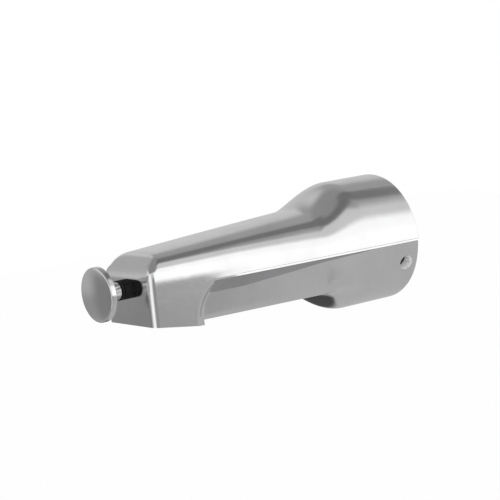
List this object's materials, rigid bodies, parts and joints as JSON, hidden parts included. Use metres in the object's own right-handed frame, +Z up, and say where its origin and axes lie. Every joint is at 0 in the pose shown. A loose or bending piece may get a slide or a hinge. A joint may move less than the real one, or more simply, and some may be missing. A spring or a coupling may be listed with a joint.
{
  "type": "bath spout",
  "caption": "Wall bath spout with a round bell, a tapered squared arm with a set-in side panel, an open outlet hood and a round pull knob on the nose that works a shower diverter.",
  "frame": {"origin": "centre of the round wall end, on the axis of the pipe socket and of the pull knob", "axes": "+Y into the wall, so the nose reaches towards -Y; +Z up; +X to the side with the set screw"},
  "size_m": [0.0642, 0.1729, 0.0644],
  "materials": {
    "satin_chrome": "plated satin chrome",
    "black_steel": "black oxide",
    "black_plastic": "moulded",
    "brass": "machined",
    "stainless": "drawn wire and sheet",
    "rubber": "moulded"
  },
  "bodies": {
    "spout": {"spout_body": "satin_chrome", "stem_guide": "black_plastic", "guide_nut": "brass", "valve_seat": "brass", "return_spring": "stainless", "waterway_tube": "brass", "tube_seal": "rubber", "pipe_adapter": "brass", "pipe_o_ring_inner": "rubber", "pipe_o_ring_outer": "rubber", "set_screw": "black_steel"},
    "spring_follower": {"spring_washer": "stainless"},
    "diverter": {"diverter_knob": "satin_chrome", "diverter_stem": "brass", "valve_washer": "rubber", "washer_cup": "brass", "stem_nut": "brass", "e_clip": "stainless"}
  },
  "joints": [
    {"name": "diverter_pull", "type": "slide", "parent": "spout", "child": "spring_follower", "axis": [0, -1, 0], "range_m": [0, 0.009], "stiffness_N_per_m": 150, "springref_m": -0.006, "deforming": ["return_spring"]},
    {"name": "knob_spin", "type": "hinge", "parent": "spring_follower", "child": "diverter", "pos_m": [0, 0, 0], "axis": [0, -1, 0], "continuous": true}
  ]
}
